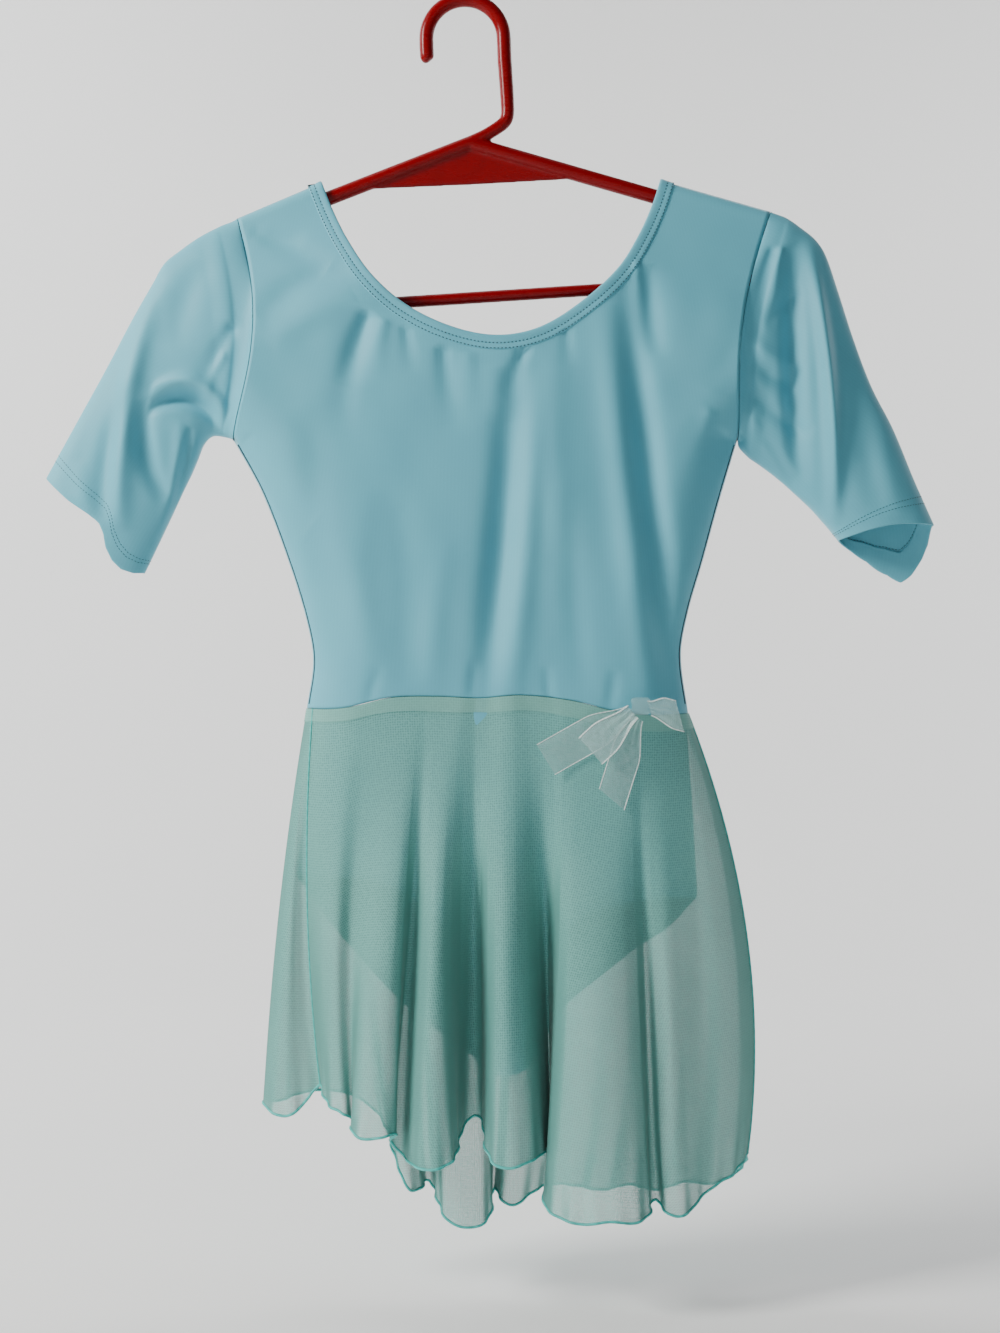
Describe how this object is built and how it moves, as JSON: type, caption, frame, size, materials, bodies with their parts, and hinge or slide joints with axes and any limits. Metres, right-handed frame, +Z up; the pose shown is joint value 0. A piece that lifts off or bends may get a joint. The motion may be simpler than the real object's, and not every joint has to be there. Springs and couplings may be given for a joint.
{
  "type": "ballet dress on a hanger",
  "caption": "Child's ballet dress with a round neck, half sleeves, a flared mesh skirt and a ribbon bow at one hip, hanging open and empty on a tubular plastic hanger with a hook.",
  "frame": {"origin": "the point inside the top of the hanger's hook, where a rod or wall hook carries it", "axes": "+Z up, the dress faces -Y, +X to the viewer's right across the shoulders"},
  "size_m": [0.5494, 0.086, 0.7661],
  "materials": {
    "stretch_cloth": "smooth matte stretch knit, pale aqua",
    "mesh_cloth": "fine see-through mesh, pale mint",
    "organza_ribbon": "sheer ribbon with a bright thread edge",
    "red_moulded_plastic": "glossy moulded, red"
  },
  "bodies": {
    "root": {"front_bodice": "stretch_cloth", "back_bodice": "stretch_cloth", "left_sleeve": "stretch_cloth", "right_sleeve": "stretch_cloth", "neck_band": "stretch_cloth", "front_brief": "stretch_cloth", "back_brief": "stretch_cloth", "skirt_front": "mesh_cloth", "skirt_back": "mesh_cloth", "bow_knot": "organza_ribbon", "bow_left_loop": "organza_ribbon", "bow_right_loop": "organza_ribbon", "bow_left_tail": "organza_ribbon", "bow_right_tail": "organza_ribbon", "hanger": "red_moulded_plastic"}
  },
  "joints": []
}
